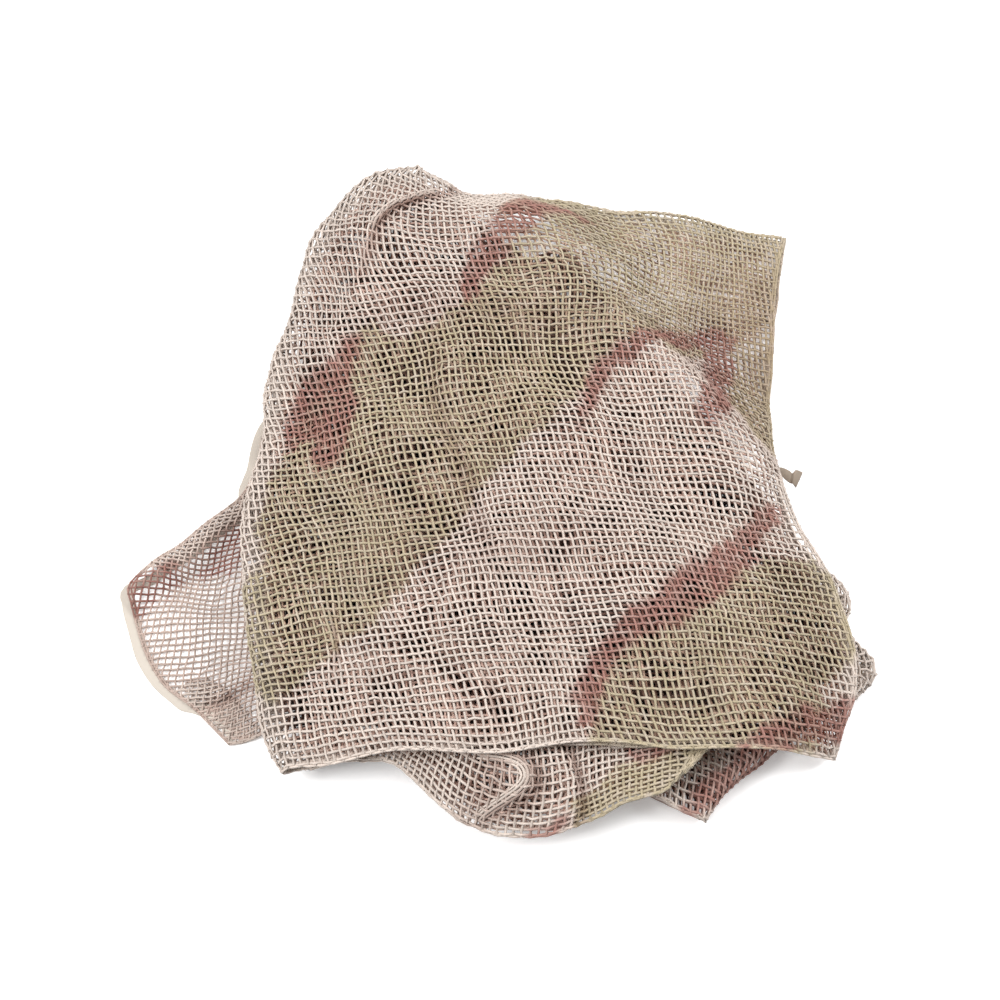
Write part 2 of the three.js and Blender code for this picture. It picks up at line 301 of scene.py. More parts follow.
def creases_of(index):
    """The lips and creases that move a layer."""
    return [crease for crease in CREASES if crease["layers"][0] <= index <= crease["layers"][1]]


def crease_line(crease, shares):
    """Points of a crease at shares of its table, and the way to its steep side there."""
    line = np.stack([spline(crease["x"], shares), spline(crease["y"], shares)], axis=-1)
    way = unit(np.gradient(line, axis=0))
    return line, np.stack([-way[:, 1], way[:, 0]], axis=-1)


def crease_shift(crease, places):
    """How a lip or crease moves the cloth, sideways and up, and how dark the yarn below its crest is painted.
    """
    line, left = crease_line(crease, CREASE_STEPS)
    gaps = places[..., None, :] - line
    nearest = np.linalg.norm(gaps, axis=-1).argmin(-1)
    gap = np.take_along_axis(gaps, nearest[..., None, None], axis=-2)[..., 0, :]
    distance = np.linalg.norm(gap, axis=-1)
    steep = (gap * left[nearest]).sum(-1) > 0
    ends = np.sin(pi * np.clip(nearest / (len(line) - 1), *CREASE_ENDS)) ** CREASE_FADE
    width = np.where(steep, crease["steep"], crease["gentle"])
    lift = crease["lift"] * ends * np.exp(-((distance / width) ** 2))
    push = crease["push"] * ends * np.exp(-((distance / np.where(steep, width, PULL * width)) ** 2))
    dark = crease["shade"] * ends * steep * np.exp(-(((distance / width - SHADE_PLACE) / SHADE_WIDTH) ** 2))
    return left[nearest] * push[..., None], lift, dark


print("creases:", ", ".join(crease["name"] for crease in CREASES))

# %% [markdown]
# ## A point of a layer
# Plan, drape, swells, ripples and creases come together in one function: the number of a layer, a share
# along it and a share across it give a point in space. All the yarns are laid out by asking it.

# %% Layers in space
FLOOR_CLEAR = 1.9  # the middle of the lowest yarn lies so far above the floor
MIDDLE = np.array([0.5])


def layer_point(index, along, across):
    """Points of one layer in the part's frame, in millimetres."""
    places = plan(LAYERS[index], along, across)
    height = np.full(places.shape[:-1], NET_THICKNESS / 2)
    for below in LAYERS[index + 1:]:
        height += LAYER_RISE * cover(below, places)
    for swell in SWELLS:
        if index <= swell["layer"]:
            height += swell["lift"] * within(places, swell)
    drift = np.zeros_like(places)
    for number, wave in enumerate(RIPPLES):
        height += wave["height"] * ripple(places, 100 * (index // 2) + 10 * number, wave["length"])
        for axis in (0, 1):
            seed = 100 * index + 10 * number + 1 + axis
            drift[..., axis] += wave["drift"] * ripple(places, seed, wave["length"])
    for crease in creases_of(index):
        shift, lift, _ = crease_shift(crease, places)
        drift += shift
        height += lift
    height = np.maximum(height, FLOOR_CLEAR)
    return np.concatenate([places + drift - HEAP_CENTRE, height[..., None]], axis=-1)


print("middle of the top layer:", layer_point(0, MIDDLE, MIDDLE).round(1))

# %% [markdown]
# ## Round the folds
# At the end of a panel the cloth turns back in a half circle, and at its far edge the two plies are
# one cloth that turns over lengthwise. A station from 0 to 1 crosses a panel, and half a unit more
# goes to the crown of the fold. In the same way across runs from 0 at the near edge to 1, then to 1.5.

# %% One continuous cloth
FOLD_BULGE = 0.9  # how round the folds are: 1 is a half circle
LINE_STEP, EDGE_STEP = 0.005, 0.05  # small steps along a fold, and in from the far edge


def layer_of(panel, ply):
    """The number of the layer that is one ply of a panel."""
    return 2 * panel if LAYERS[2 * panel]["ply"] == ply else 2 * panel + 1


def fold_point(panel, turn, ply, across):
    """Points of the half turn from one panel to the next."""
    index = layer_of(panel, ply)
    upper = layer_point(index, np.ones_like(across), across)
    lower = layer_point(layer_of(panel + 1, ply), np.zeros_like(across), across)
    name = LAYERS[index]["to"]
    ahead, behind = np.minimum(across + LINE_STEP, 1), np.maximum(across - LINE_STEP, 0)
    fold = unit(on_line(name, ahead) - on_line(name, behind))
    outward = np.stack([fold[..., 1], -fold[..., 0], np.zeros_like(across)], axis=-1)
    if panel % 2 == 0:
        outward = -outward
    half = (upper - lower) / 2
    bulge = FOLD_BULGE * half[..., 2] * np.sin(turn)
    return upper - half + half * np.cos(turn)[..., None] + outward * bulge[..., None]


def sheet_point(panel, ply, station, across):
    """Points of one ply of a panel and of the folds at its ends."""
    points = layer_point(layer_of(panel, ply), np.clip(station, 0, 1), across)
    for fold, beyond, turn in ((panel, station > 1, station - 1), (panel - 1, station < 0, station + 1)):
        if beyond.any():
            points[beyond] = fold_point(fold, pi * turn[beyond], ply, across[beyond])
    return points


def cloth_point(panel, ply, station, across):
    """The same, and past 1 across, points of the half turn from this ply to the other."""
    points = sheet_point(panel, ply, station, np.minimum(across, 1))
    over = across > 1
    if over.any():
        edge, edge_across = points[over], np.ones(over.sum())
        other = sheet_point(panel, "b" if ply == "a" else "a", station[over], edge_across)
        outward = edge - sheet_point(panel, ply, station[over], edge_across - EDGE_STEP)
        outward[:, 2] = 0
        half = (edge - other) / 2
        turn = pi * (across[over] - 1)[:, None]
        size = np.linalg.norm(half, axis=-1, keepdims=True)
        points[over] = edge - half + half * np.cos(turn) + unit(outward) * FOLD_BULGE * size * np.sin(turn)
    return points


print("crown of the left fold:", fold_point(0, pi * MIDDLE, "a", MIDDLE).round(1))

# %% [markdown]
# ## The print
# Broad olive blotches and narrow brown streaks lie on a pale tan ground. They are charted
# as strokes of changing width, in plan, for the panels that show. The dye bleeds a little along the
# yarns, so the edges are soft and wobble. The result is two weights for each point, kept as attributes.

# %% Strokes of dye
# Two strokes that show on two panels, one over the other
PLEAT_OLIVE = {"x": [62, 104, 138], "y": [-238, -218, -205], "half": [13, 17, 14]}
CORNER_BROWN = {"x": [134, 151, 172, 190], "y": [-234, -219, -204, -192], "half": [6, 11, 12, 10]}
# The strokes of each panel, from the top of the heap to the floor
PRINT = [
    {"olive": [
        {"x": [60, 130, 205], "y": [206, 190, 190], "half": [60, 78, 62]},
        {"x": [206, 206, 230], "y": [160, 92, 28], "half": [46, 38, 12]},
        {"x": [66, 14, -42, -84, -128, -160], "y": [178, 112, 52, -8, -66, -128],
         "half": [52, 60, 60, 58, 54, 30]},
        {"x": [-92, -112, -140], "y": [98, 42, -20], "half": [28, 40, 40]},
        {"x": [84, 132, 192, 232], "y": [-164, -142, -112, -96], "half": [24, 40, 50, 40]},
        {"x": [74, 110, 150, 212], "y": [-184, -184, -178, -172], "half": [14, 20, 26, 26]},
    ], "brown": [
        {"x": [22, 0, -16, -26], "y": [236, 208, 182, 154], "half": [12, 14, 11, 5]},
        {"x": [30, 70], "y": [242, 236], "half": [5, 4]},
        {"x": [-112, -132, -148, -158], "y": [114, 80, 48, 34], "half": [8, 20, 16, 5]},
        {"x": [-118, -126, -134], "y": [66, 36, 16], "half": [12, 12, 5]},
        {"x": [56, 68, 85, 105, 124, 150, 172, 171, 165, 160, 156],
         "y": [43, 74, 99, 118, 121, 131, 133, 111, 85, 64, 49],
         "half": [4, 8, 9, 9, 7, 9, 14, 15, 12, 10, 5]},
        {"x": [198, 172, 144, 108, 80, 64, 58], "y": [-22, -54, -80, -102, -126, -150, -180],
         "half": [8, 13, 16, 14, 11, 10, 6]},
        {"x": [172, 198, 222, 248], "y": [-193, -185, -177, -172], "half": [5, 10, 14, 16]},
    ]},
    {"olive": [PLEAT_OLIVE], "brown": [
        {"x": [22, 33, 44], "y": [-257, -252, -246], "half": [4, 6, 4]},
        {"x": [96, 118], "y": [-196, -190], "half": [8, 8]},
    ]},
    {"olive": [PLEAT_OLIVE], "brown": []},
    {"olive": [], "brown": [CORNER_BROWN]},
    {"olive": [
        {"x": [230, 262], "y": [-90, -120], "half": [24, 24]},
    ], "brown": [
        CORNER_BROWN,
        {"x": [-288, -268, -250], "y": [-70, -66, -58], "half": [16, 18, 10]},
        {"x": [-222, -208, -190], "y": [-54, -42, -26], "half": [6, 12, 14]},
    ]},
]
STROKE_STEPS = np.linspace(0, 1, 33)
BLEED = 1.6  # the soft edge of the dye, to each side
WOBBLE = [{"size": 3, "length": 42}, {"size": 1.8, "length": 13}]  # how the strokes wander
WOBBLE_SEEDS, UNEVEN_SEED = (501, 503), 505
UNEVEN = {"share": 0.9, "swing": 0.26, "length": 9}  # how evenly the yarn took the dye
THROUGH = {"olive": 0.6, "brown": 0.9}  # how much of each dye came through to the ply below


def stroke_weight(strokes, places, bleed):
    """1 inside the strokes, 0 outside them, with a soft edge."""
    depth = np.full(places.shape[:-1], np.inf)
    for row in strokes:
        for x, y, half in zip(*(spline(row[column], STROKE_STEPS) for column in ("x", "y", "half"))):
            depth = np.minimum(depth, np.hypot(places[..., 0] - x, places[..., 1] - y) - half)
    return 1 - ease((depth / bleed + 1) / 2)


def printed(panel, ply, places):
    """Olive and brown weights. On the top panel some of the dye came through to the lower ply."""
    wobble = []
    for seed in WOBBLE_SEEDS:
        waves = [row["size"] * ripple(places, seed + i, row["length"]) for i, row in enumerate(WOBBLE)]
        wobble.append(sum(waves))
    places = places + np.stack(wobble, axis=-1)
    uneven = UNEVEN["share"] + UNEVEN["swing"] * ripple(places, UNEVEN_SEED, UNEVEN["length"])
    uneven = np.clip(uneven, 0, 1)
    share = THROUGH if ply == "b" and panel == 0 else {"olive": 1, "brown": 1}
    return {dye: share[dye] * stroke_weight(PRINT[panel][dye], places, BLEED) * uneven for dye in share}


for dye in ("olive", "brown"):
    print(dye, "strokes:", [len(strokes[dye]) for strokes in PRINT])

# %% [markdown]
# ## Where the yarns run
# Lengthwise yarns follow the near and far edges of the cloth. Cross yarns are level lines of a number
# that grows along the panel, so a lean can be added where the loose net has been pulled askew. Each
# crossing then has a station and a share across, and the functions above give its place.

# %% The lattice of crossings
CROSS_PITCHES = [4.9, 4.6, 5.6, 5.2, 4.9]  # between cross yarns, for each panel
ROW_PITCHES = {"a": 5.9, "b": 6.2}  # between lengthwise yarns, for each ply
HALF_WIDTH = 475
SELVEDGE = [0, 1.6]  # close yarns at the near edge
ROW_BOW = 0.1
FOLD_STATIONS, PANEL_STATIONS, SHARE_STEPS = 9, 65, 101
# Cross yarns lean by so much of their rise from the pivot, all over a panel or round a middle.
LEANS = [
    {"panel": 0, "lean": -0.27, "pivot": 40},
    {"panel": 0, "lean": 0.36, "pivot": 110, "x": 140, "y": 190, "reach": 190},
    {"panel": 0, "lean": 0.4, "pivot": 235, "x": -95, "y": 252, "reach": 120},
    {"panel": 1, "lean": -0.35, "pivot": -200, "x": -90, "y": -215, "reach": 150},
    {"panel": 4, "lean": 0.1, "pivot": -100},
]


def cross_number(panel, places):
    """Grows along a panel, in millimetres: cross yarns lie where it is a whole number of pitches."""
    number = places[..., 0] * (1 if panel % 2 else -1)
    for row in LEANS:
        if row["panel"] == panel:
            rise = row["lean"] * (places[..., 1] - row["pivot"])
            if "reach" in row:
                rise = rise * within(places, row)
            number = number + rise
    return number


def bowed(panel, station, across):
    """Lengthwise yarns rise towards the right end of the top panel."""
    bow = ROW_BOW * (1 - np.clip(station, 0, 1) ** 2) * (panel == 0)
    return across + bow * np.sin(pi * np.clip(across, 0, 1))


def crossings(panel, ply):
    """Each crossing of one ply: its station, its share across, whether it is on the cloth, its number."""
    first, last = (0 if panel == 0 else -0.5), (1 if panel == PANELS - 1 else 1.5)
    stations = [np.linspace(first, last, FOLD_STATIONS), np.linspace(0, 1, PANEL_STATIONS)]
    stations = np.unique(np.concatenate(stations))
    pitch = ROW_PITCHES[ply]
    rows = np.append(SELVEDGE, np.arange(SELVEDGE[-1] + pitch, HALF_WIDTH, pitch))
    shares = np.linspace(0, 1, SHARE_STEPS)
    rows = np.interp(rows / rows[-1], bowed(0, 0.5, shares), shares)
    rows = np.append(rows, 1.5)
    station, across = np.meshgrid(stations, np.minimum(rows, 1))
    across = bowed(panel, station, across)
    number = cross_number(panel, plan(LAYERS[layer_of(panel, ply)], np.clip(station, 0, 1), across))
    steps = np.linalg.norm(np.diff(sheet_point(panel, ply, station, across), axis=1), axis=-1)
    for column in np.flatnonzero(stations > 1):
        number[:, column] = number[:, column - 1] + steps[:, column - 1]
    for column in np.flatnonzero(stations < 0)[::-1]:
        number[:, column] = number[:, column + 1] - steps[:, column]
    number = np.maximum.accumulate(number, axis=1)
    pitch = CROSS_PITCHES[panel]
    wanted = np.arange(np.ceil(number.min() / pitch), number.max() / pitch) * pitch
    found = np.stack([np.interp(wanted, row, stations) for row in number])
    on_cloth = (wanted >= number[:, :1]) & (wanted <= number[:, -1:])
    across = np.broadcast_to(rows[:, None], found.shape)
    return found, across, on_cloth, wanted


print("lengthwise yarns in a ply: about", round(HALF_WIDTH / ROW_PITCHES["a"]))

# %% [markdown]
# ## From crossings to yarns
# A yarn is a tube with four sides: a ring of four points at each crossing, joined to the next ring.
# The rings are pushed up and down in turn, so that the yarns weave over and under each other. Making
# hundreds of thousands of faces one by one would be slow, so the rings and faces are whole arrays.

# %% Tubes from arrays
def sweep(rings, linked):
    """Closed tubes through rings of points, shaped rows by steps by ring, where neighbours are linked."""
    size = rings.shape[2]
    number = np.arange(rings[..., 0].size).reshape(rings.shape[:3])
    start, end = number[:, :-1][linked], number[:, 1:][linked]
    walls = np.stack([start, np.roll(start, -1, 1), np.roll(end, -1, 1), end], axis=2).reshape(-1, 4)
    begins = linked & ~np.pad(linked, ((0, 0), (1, 0)))[:, :-1]
    stops = linked & ~np.pad(linked, ((0, 0), (0, 1)))[:, 1:]
    ends = np.concatenate([number[:, :-1][begins][:, ::-1], number[:, 1:][stops]])
    caps = [ends[:, [i, i + 1, size - 2 - i, size - 1 - i]] for i in range(size // 2 - 1)]
    return rings.reshape(-1, 3), np.concatenate([walls, *caps])


def tubes(paths, normals, linked, radius):
    """Four-sided tubes along rows of points."""
    along = np.gradient(paths, axis=1)
    side = unit(np.cross(along, normals))
    up = unit(np.cross(side, along))
    return sweep(paths[:, :, None] + np.stack([up, side, -up, -side], axis=2) * radius, linked)


def mesh_piece(name, points, faces, values, flat):
    """A smooth mesh of quads with named values and a flat map at its points."""
    used, faces = np.unique(faces, return_inverse=True)
    faces = faces.reshape(-1, 4)
    mesh = bpy.data.meshes.new(name)
    mesh.vertices.add(len(used))
    mesh.vertices.foreach_set("co", (points[used] * MM).ravel())
    mesh.loops.add(faces.size)
    mesh.loops.foreach_set("vertex_index", faces.ravel().astype(np.int32))
    mesh.polygons.add(len(faces))
    mesh.polygons.foreach_set("loop_start", np.arange(0, faces.size, 4, dtype=np.int32))
    mesh.update(calc_edges=True)
    mesh.polygons.foreach_set("use_smooth", np.ones(len(faces), bool))
    for value, numbers in values.items():
        attribute = mesh.attributes.new(value, "FLOAT", "POINT")
        attribute.data.foreach_set("value", numbers[used].astype(np.float32))
    layer = mesh.uv_layers.new(name="OFBake")
    layer.data.foreach_set("uv", flat[used][faces.ravel()].astype(np.float32).ravel())
    piece = bpy.data.objects.new(name, mesh)
    bpy.context.scene.collection.objects.link(piece)
    return piece


print("faces of a yarn with ten links:", len(sweep(np.zeros((1, 11, 4, 3)), np.ones((1, 10), bool))[1]))

# %% [markdown]
# ## Light in the heap
# Very little light comes through ten layers, so yarn is darker for each layer that lies over it, in the
# hollows and below a lip. Here the layers stand a little further apart than real ones, so the light
# between them can't be left to the lamps alone: each point of the net gets a lightness of its own, and
# this painted light and shade is multiplied into the colour of its yarn.

# %% Light and shade
# Painted shade: how light the yarn's colour is drawn under so many layers. The ply next to the top one
# is painted a little lighter, because real plies touch each other and share the light.
SHADE_UNDER_LAYERS = [1, 1.13, 0.32, 0.07, 0.02]
SHADE_EDGE = 14  # a layer shades fully what lies so far inside its rim
HOLLOW_SHADE, HOLLOW_LENGTH = 0.4, 55  # painted shade: where the plies stand apart, the one below is drawn darker, as it lies deeper in the dark
HOLLOW_SEED = 601
# Painted shade in the deepest of these hollows between the two plies of the top, as strokes in plan
SHADED_HOLLOWS = [
    {"x": [-81, -67, -52], "y": [77, 90, 104], "half": [8, 13, 8]},
    {"x": [-41, -11, 15], "y": [120, 123, 116], "half": [5, 7, 5]},
    {"x": [37, 43, 54], "y": [132, 113, 90], "half": [6, 10, 8]},
    {"x": [43, 77], "y": [161, 154], "half": [4, 5]},
    {"x": [45, 76], "y": [-83, -82], "half": [4, 4]},
    {"x": [44, 83], "y": [-98, -98], "half": [5, 4]},
    {"x": [99, 134], "y": [-155, -159], "half": [6, 6]},
]
# how dark the painted shade in those hollows is, and its soft edge
HOLLOW_DARKNESS, HOLLOW_EDGE = 0.75, 7
DIMMED = {"layers": (0, 1), "x": 215, "y": 135, "reach": 130, "share": 0.18}  # painted shade on the low flap on the right
PANEL_SHADE = [1, 1, 1, 1, 0.77]  # painted shade: the yarn of the last length of the cloth, the low flap on the left, is drawn darker


def covered(index, places):
    """How many layers lie over each place of a layer."""
    over = np.zeros(places.shape[:-1])
    for above in LAYERS[:index]:
        over += 1 - ease(outside(above["rim"], places) / SHADE_EDGE + 1)
    return over


def lightness(index, places, resting):
    """Painted light and shade: how much colour the yarn shows, mostly less below layers, in hollows and under
    a lip.
    """
    over = covered(index, places)
    light = PANEL_SHADE[index // 2] * np.interp(over, range(len(SHADE_UNDER_LAYERS)), SHADE_UNDER_LAYERS)
    light *= 1 - HOLLOW_SHADE * np.minimum(over, 1) * ease(ripple(places, HOLLOW_SEED, HOLLOW_LENGTH))
    if index == 1:
        light *= 1 - HOLLOW_DARKNESS * stroke_weight(SHADED_HOLLOWS, places, HOLLOW_EDGE)
    if index in DIMMED["layers"]:
        light *= 1 - DIMMED["share"] * within(places, DIMMED)
    for crease in creases_of(index):
        light *= 1 - crease_shift(crease, resting)[2]
    return light


print("light below 1, 2 and 3 layers:", SHADE_UNDER_LAYERS[1:4])

# %% [markdown]
# ## Double strips and rolled lips
# On the left flap and at the near right corner, strips of the end are turned under, so the net is double
# there. Where a lip turns back on itself, a few yarns lie close together along its crest. Both are more
# rows of points beside those of the lattice, so they become yarns in the same way.

# %% Yarns both ways, strips and lips
# Strips of the end that are turned under, as shares of its line
TURNED = [
    {"panel": 4, "ply": "a", "line": "upper_end", "from": 0.39, "to": 0.58, "width": 17},
    {"panel": 4, "ply": "a", "line": "upper_end", "from": 0.0, "to": 0.07, "width": 24},
    {"panel": 0, "ply": "b", "line": "right_end", "from": 0.0, "to": 0.08, "width": 30},
]
TURN_SHIFT = np.array([2.4, 3.0, -3.0])
STRIP_STEPS = 40
CROSS_THINNER = 0.9  # cross yarns against lengthwise ones
WEAVE_LIFT = 0.4  # up or down at each crossing, in thicknesses of the yarn
LIP_STEPS, LIP_DIVE, LIP_TURN = 33, 3, (radians(-50), radians(95))
LIP_ENDS, LIP_SHADE = 0.3, 0.3  # how soon a lip dives at its ends, and how much darker its lower yarns are painted
UPRIGHT = np.array([0, 0, 1.0])


def turned_under(panel, ply, places):
    """Which places lie on a strip that is turned under."""
    found = np.zeros(places.shape[:-1], bool)
    for row in TURNED:
        if (row["panel"], row["ply"]) == (panel, ply):
            line = on_line(row["line"], np.linspace(row["from"], row["to"], STRIP_STEPS))
            found |= np.linalg.norm(places[..., None, :] - line, axis=-1).min(-1) < row["width"]
    return found


def both_ways(yarn, points, normals, light, there, join):
    """Lengthwise and cross yarns: thickness, paths, normals, lightness, and which neighbours are joined."""
    rows, columns = np.indices(points.shape[:2])
    lift = normals * (np.where((rows + columns) % 2, WEAVE_LIFT, -WEAVE_LIFT) * yarn)[..., None]
    return [
        (yarn, points + lift, normals, light, join(there[:, 1:], there[:, :-1])),
        (CROSS_THINNER * yarn, (points - lift).swapaxes(0, 1), normals.swapaxes(0, 1), light.T,
         join(there[1:], there[:-1]).T),
    ]


def rolled_lip(yarn, crease, points):
    """A few yarns along the crest of a lip, where the net turns back on itself."""
    roll, t = crease["roll"], np.linspace(0, 1, LIP_STEPS)
    shares = roll["from"] + (roll["to"] - roll["from"]) * t
    line, left = crease_line(crease, shares)
    line = line + crease_shift(crease, line)[0] - HEAP_CENTRE
    near = np.exp(-((np.linalg.norm(points[..., :2] - line[:, None, None], axis=-1) / yarn) ** 2)) + SMALL
    crest = (near * points[..., 2]).sum((1, 2)) / near.sum((1, 2))
    crest -= LIP_DIVE * (1 - np.sin(pi * t) ** LIP_ENDS)
    paths = []
    turns = np.linspace(*LIP_TURN, roll["yarns"])
    for turn in turns:
        places = line + left * (roll["radius"] * sin(turn))
        paths.append(np.column_stack([places, crest + yarn / 2 - roll["radius"] * (1 - cos(turn))]))
    # Painted shade: the lower yarns of the roll are darker.
    light = np.repeat(np.where(turns > 0, 1 - LIP_SHADE * turns, 1)[:, None], LIP_STEPS, axis=1)
    linked = np.ones((len(turns), LIP_STEPS - 1), bool)
    paths = np.array(paths)
    return yarn, paths, np.broadcast_to(UPRIGHT, paths.shape), light, linked


print("lips with a roll of yarns:", sum("roll" in crease for crease in CREASES))

# %% [markdown]
# ## The net
# Each ply of each panel is one mesh, so that none is too heavy. The ends of the net have a few close
# yarns for the hem, its near edges have the close yarns of the selvedge, and one yarn lies along the
# crown of each fold. The crossings slip a little, each by its own amount, because a loose net is never
# quite even.

# %% Weave one ply of a panel
YARNS = [2.0, 2.05, 2.1, 2.05, 1.7]  # how thick the yarn is, for each panel
SLACK = 0.32  # how far the crossings slip
HEM = [0.4, 3]  # yarns so far in from the end
CROWN, CROWN_STEPS = 1.48, 120
STRIP_LIGHT = 1.2  # painted light: the yarn over a strip that is turned under is drawn so much lighter
TONES = 0.06  # each yarn is a little lighter or darker
WEAVE_SEED = 1000


def extra_yarns(panel, ply, paths):
    """Yarns along rows of points, beside those of the lattice."""
    places = paths[..., :2] + HEAP_CENTRE
    light = lightness(layer_of(panel, ply), places, places)
    linked = np.ones((len(paths), paths.shape[1] - 1), bool)
    return CROSS_THINNER * YARNS[panel], paths, np.broadcast_to(UPRIGHT, paths.shape), light, linked


def crown_yarn(panel, ply):
    """One yarn along the crown of the fold at the end of a panel."""
    crown = np.linspace(0, 1, CROWN_STEPS)[None]
    return extra_yarns(panel, ply, cloth_point(panel, ply, np.full_like(crown, CROWN), crown))


def hem_yarns(panel, ply, end, across, length):
    """Close yarns along an end of the net."""
    inset = np.array(HEM) / length
    station = np.repeat((end + inset * (1 - 2 * end))[:, None], len(across), axis=1)
    shares = bowed(panel, station, np.repeat(across[:, :1].T, len(HEM), axis=0))
    return extra_yarns(panel, ply, cloth_point(panel, ply, station, shares))


def yarn_mesh(name, panel, ply, yarns, rng):
    """All the yarns of a ply as one mesh, with dye and light at each point."""
    points, faces, flat, values = [], [], [], {"olive": [], "brown": [], "tone": [], "deep_shade": []}
    for thickness, paths, directions, light, linked in yarns:
        tube, quads = tubes(paths, directions, linked, thickness / 2)
        faces.append(quads + sum(map(len, points)))
        points.append(tube)
        places = paths[..., :2] + HEAP_CENTRE
        tone = 1 + TONES * np.clip(rng.normal(0, 1, (len(paths), 1)), -2, 2)
        # A painted warm tint of the shade: more where layers lie over the yarn and where it is painted
        # darker.
        deep_shade = 1 - np.minimum(light, 1) * np.exp(-covered(layer_of(panel, ply), places) / 2)
        # The tone value is each yarn's own random tone times the painted light and shade.
        shown = {**printed(panel, ply, places), "tone": tone * light, "deep_shade": deep_shade}
        for value, numbers in shown.items():
            values[value].append(np.repeat(numbers.ravel(), 4))
        flat.append(np.repeat(places.reshape(-1, 2), 4, axis=0))
    flat = np.concatenate(flat)
    flat = (flat - flat.min(0)) / np.ptp(flat, axis=0)
    values = {value: np.concatenate(numbers) for value, numbers in values.items()}
    return mesh_piece(name, np.concatenate(points), np.concatenate(faces), values, flat)


def weave(panel, ply):
    """One ply of a panel as a piece, with its flat area and length in metres."""
    rng = np.random.default_rng(WEAVE_SEED + 10 * panel + (ply == "b"))
    index, yarn = layer_of(panel, ply), YARNS[panel]
    station, across, on_cloth, numbers = crossings(panel, ply)
    length = np.ptp(numbers)
    station = np.clip(station + rng.normal(0, SLACK / length, station.shape), station.min(), station.max())
    loose = (across > 0) & (across < 1)
    across = across + loose * rng.normal(0, SLACK / HALF_WIDTH, across.shape)
    shares = bowed(panel, station, across)
    points = cloth_point(panel, ply, station, shares)
    places = points[..., :2] + HEAP_CENTRE
    normals = unit(np.cross(np.gradient(points, axis=1), np.gradient(points, axis=0)))
    light = lightness(index, places, plan(LAYERS[index], np.clip(station, 0, 1), np.minimum(shares, 1)))
    strip = on_cloth & turned_under(panel, ply, places)
    # Painted light on the yarn over a turned-under strip; the yarns turned under keep the light they had.
    light = light * np.where(strip, STRIP_LIGHT, 1)
    yarns = both_ways(yarn, points, normals, light, on_cloth, np.logical_or)
    if strip.any():
        below = points + TURN_SHIFT
        below[..., 2] = np.maximum(below[..., 2], yarn)
        yarns += both_ways(yarn, below, normals, light / STRIP_LIGHT, strip, np.logical_and)
    for crease in CREASES:
        if "roll" in crease and crease["layers"][0] == index:
            yarns.append(rolled_lip(yarn, crease, points))
    if panel < PANELS - 1:
        yarns.append(crown_yarn(panel, ply))
    end = {0: 0, PANELS - 1: 1}.get(panel)
    if end is not None:
        yarns.append(hem_yarns(panel, ply, end, across, length))
    side = "upper" if ply == LAYERS[2 * panel]["ply"] else "lower"
    piece = yarn_mesh(f"net_panel_{panel + 1}_{side}", panel, ply, yarns, rng)
    area = (on_cloth.sum() + strip.sum()) * CROSS_PITCHES[panel] * ROW_PITCHES[ply] * MM**2
    return piece, area, length * MM


print("yarns of each hem:", len(HEM), "and of each selvedge:", len(SELVEDGE))

# %% [markdown]
# ## Cotton yarn
# Scrim is spun cotton, dull and a little hairy, dyed in the piece. It has no shine, a soft edge to the
# light from its hairs, and each yarn took up the dye a little differently. The light and shade of the heap
# are painted into the colour as well, darker and warmer under the layers.

# %% Yarn material
def colour(code):
    """An sRGB hex colour as linear values."""
    parts = [int(code[i:i + 2], 16) / 255 for i in (1, 3, 5)]
    return [c / 12.92 if c <= 0.04045 else ((c + 0.055) / 1.055) ** 2.4 for c in parts] + [1]


def node(tree, kind, settings=None, links=None):
    """Adds a shader node. Settings are properties or inputs, and links say which output feeds an input."""
    made = tree.nodes.new(kind)
    for key, value in (settings or {}).items():
        if isinstance(key, str) and hasattr(made, key):
            setattr(made, key, value)
        else:
            made.inputs[key].default_value = value
    for key, source in (links or {}).items():
        tree.links.new(source, made.inputs[key])
    return made


def new_material(name):
    """An empty material and its tree of nodes."""
    material = bpy.data.materials.new(name)
    material.use_nodes = True
    tree = material.node_tree
    tree.nodes.clear()
    return material, tree


TAN, OLIVE, BROWN = "#CFC2B8", "#B2A58B", "#A2796F"
WARM_SHADE = "#FFC6B4"  # painted warm shade: light that went from yarn to yarn is warmer
FUZZ = 0.7  # the hairs of the yarn as spots of this size, coarser than they are, so that they show
FUZZ_SWING, FUZZ_LEAST = 0.4, 0.8  # how much lighter the spots get, from the darkest one


